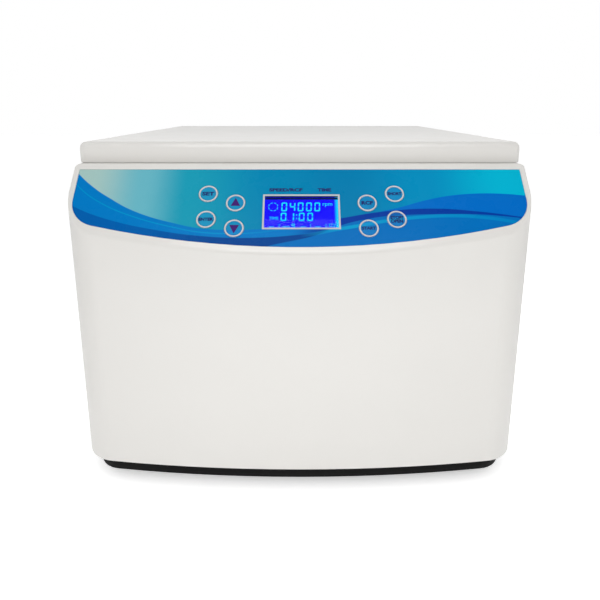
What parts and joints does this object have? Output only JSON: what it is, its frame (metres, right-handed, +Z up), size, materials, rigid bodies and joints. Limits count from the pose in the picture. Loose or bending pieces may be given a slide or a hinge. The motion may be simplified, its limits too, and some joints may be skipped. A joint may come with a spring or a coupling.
{
  "type": "laboratory centrifuge",
  "caption": "Benchtop laboratory centrifuge with a sloping keypad and display, hinged flat lid over a steel chamber, and a swing-out bucket rotor.",
  "frame": {"origin": "on the bench surface, under the middle of the machine's overall box", "axes": "+Z up, -Y the front with the control panel, +X the machine's left-to-right as its user sees it"},
  "size_m": [0.404, 0.52, 0.314],
  "materials": {
    "casing_plastic": "white, light gloss",
    "lid_plastic": "white, light gloss",
    "tray_paint": "black, satin",
    "sheet_grey": "light grey, fine texture",
    "rubber_black": "matt",
    "rubber_grey": "matt",
    "overlay_film": "blue printed film, fine texture",
    "film_green": "film with printed tracks",
    "key_film": "blue dome with a pale ring",
    "display_clear": "clear, gloss",
    "display_black": "dark module",
    "board_green": "circuit board",
    "stainless": "brushed",
    "zinc_steel": "bright zinc",
    "steel_dark": "blackened steel",
    "cast_alloy": "cast",
    "machined_alloy": "machined, anodised",
    "black_plastic": "black, moulded",
    "liner_plastic": "light grey",
    "copper_winding": "enamelled wire",
    "brass_blade": "plated",
    "plate_silver": "satin label plate"
  },
  "bodies": {
    "casing": {"housing": "casing_plastic", "base_tray": "tray_paint", "rear_panel": "sheet_grey", "rubber_feet": "rubber_black", "case_screws": "zinc_steel", "control_overlay": "overlay_film", "membrane_circuit": "film_green", "display_window": "display_clear", "display_module": "display_black", "control_board": "board_green", "chamber_bowl": "stainless", "chamber_seal": "rubber_grey", "guard_ring": "steel_dark", "bowl_pad": "rubber_black", "chamber_frame": "zinc_steel", "vibration_dampers": "rubber_black", "motor_plate": "zinc_steel", "motor_can": "cast_alloy", "motor_bearings": "stainless", "motor_stator": "copper_winding", "shaft_boot": "rubber_black", "lock_frame": "zinc_steel", "lock_solenoid": "black_plastic", "body_hinge_leaf": "zinc_steel", "hinge_pins": "stainless", "hinge_dampers": "black_plastic", "fan_frame": "black_plastic", "fan_guard": "zinc_steel", "power_inlet": "black_plastic", "inlet_pins": "brass_blade", "rating_plate": "plate_silver", "drive_board": "board_green", "power_transformer": "steel_dark"},
    "rotor": {"motor_shaft": "stainless", "motor_rotor": "steel_dark", "rotor_yoke": "machined_alloy", "rotor_nut": "machined_alloy"},
    "lid": {"lid_cover": "lid_plastic", "lid_liner": "liner_plastic", "lid_stiffener": "zinc_steel", "lid_screws": "zinc_steel", "lid_striker": "stainless", "lid_hinge_leaf": "zinc_steel"},
    "lock_catch": {"lock_catch": "zinc_steel"},
    "lock_plunger": {"lock_plunger": "stainless"},
    "fan": {"fan_rotor": "black_plastic"},
    "fuse_drawer": {"fuse_drawer": "black_plastic"},
    "power_rocker": {"power_rocker": "black_plastic"},
    "bucket_1": {"bucket_1": "machined_alloy"},
    "bucket_2": {"bucket_2": "machined_alloy"},
    "bucket_3": {"bucket_3": "machined_alloy"},
    "bucket_4": {"bucket_4": "machined_alloy"},
    "key_set": {"key_set": "key_film"},
    "key_enter": {"key_enter": "key_film"},
    "key_up": {"key_up": "key_film"},
    "key_down": {"key_down": "key_film"},
    "key_mode": {"key_mode": "key_film"},
    "key_start": {"key_start": "key_film"},
    "key_short": {"key_short": "key_film"},
    "key_stop": {"key_stop": "key_film"}
  },
  "joints": [
    {"name": "rotor_spin", "type": "hinge", "parent": "casing", "child": "rotor", "pos_m": [0, 0.014, 0.24], "axis": [0, 0, 1], "continuous": true},
    {"name": "lid_hinge", "type": "hinge", "parent": "casing", "child": "lid", "pos_m": [0, 0.237, 0.303], "axis": [-1, 0, 0], "range_deg": [0, 70]},
    {"name": "lock_swing", "type": "hinge", "parent": "casing", "child": "lock_catch", "pos_m": [0, -0.186, 0.25], "axis": [-1, 0, 0], "range_deg": [0, 22]},
    {"name": "plunger_slide", "type": "slide", "parent": "casing", "child": "lock_plunger", "axis": [0, 0, 1], "range_m": [0, 0.00621]},
    {"name": "fan_spin", "type": "hinge", "parent": "casing", "child": "fan", "pos_m": [-0.112, 0.24, 0.122], "axis": [0, 1, 0], "continuous": true},
    {"name": "fuse_drawer_slide", "type": "slide", "parent": "casing", "child": "fuse_drawer", "axis": [0, 1, 0], "range_m": [0, 0.012]},
    {"name": "power_switch_tilt", "type": "hinge", "parent": "casing", "child": "power_rocker", "pos_m": [0.112, 0.2548, 0.115], "axis": [0, 0, 1], "range_deg": [0, 16]},
    {"name": "bucket_1_swing", "type": "hinge", "parent": "rotor", "child": "bucket_1", "pos_m": [0.074, 0.014, 0.24], "axis": [0, -1, 0], "range_deg": [-5, 90]},
    {"name": "bucket_2_swing", "type": "hinge", "parent": "rotor", "child": "bucket_2", "pos_m": [0, 0.088, 0.24], "axis": [1, 0, 0], "range_deg": [-5, 90]},
    {"name": "bucket_3_swing", "type": "hinge", "parent": "rotor", "child": "bucket_3", "pos_m": [-0.074, 0.014, 0.24], "axis": [0, 1, 0], "range_deg": [-5, 90]},
    {"name": "bucket_4_swing", "type": "hinge", "parent": "rotor", "child": "bucket_4", "pos_m": [0, -0.06, 0.24], "axis": [-1, 0, 0], "range_deg": [-5, 90]},
    {"name": "key_set_press", "type": "slide", "parent": "casing", "child": "key_set", "axis": [0, 0.7547, -0.6561], "range_m": [0, 0.0004], "stiffness_N_per_m": 400},
    {"name": "key_enter_press", "type": "slide", "parent": "casing", "child": "key_enter", "axis": [0, 0.7547, -0.6561], "range_m": [0, 0.0004], "stiffness_N_per_m": 400},
    {"name": "key_up_press", "type": "slide", "parent": "casing", "child": "key_up", "axis": [0, 0.7547, -0.6561], "range_m": [0, 0.0004], "stiffness_N_per_m": 400},
    {"name": "key_down_press", "type": "slide", "parent": "casing", "child": "key_down", "axis": [0, 0.7547, -0.6561], "range_m": [0, 0.0004], "stiffness_N_per_m": 400},
    {"name": "key_mode_press", "type": "slide", "parent": "casing", "child": "key_mode", "axis": [0, 0.7547, -0.6561], "range_m": [0, 0.0004], "stiffness_N_per_m": 400},
    {"name": "key_start_press", "type": "slide", "parent": "casing", "child": "key_start", "axis": [0, 0.7547, -0.6561], "range_m": [0, 0.0004], "stiffness_N_per_m": 400},
    {"name": "key_short_press", "type": "slide", "parent": "casing", "child": "key_short", "axis": [0, 0.7547, -0.6561], "range_m": [0, 0.0004], "stiffness_N_per_m": 400},
    {"name": "key_stop_press", "type": "slide", "parent": "casing", "child": "key_stop", "axis": [0, 0.7547, -0.6561], "range_m": [0, 0.0004], "stiffness_N_per_m": 400}
  ],
  "couplings": [
    {"joint": "lock_swing", "follows": "plunger_slide", "rad_per_m": 61.868}
  ]
}
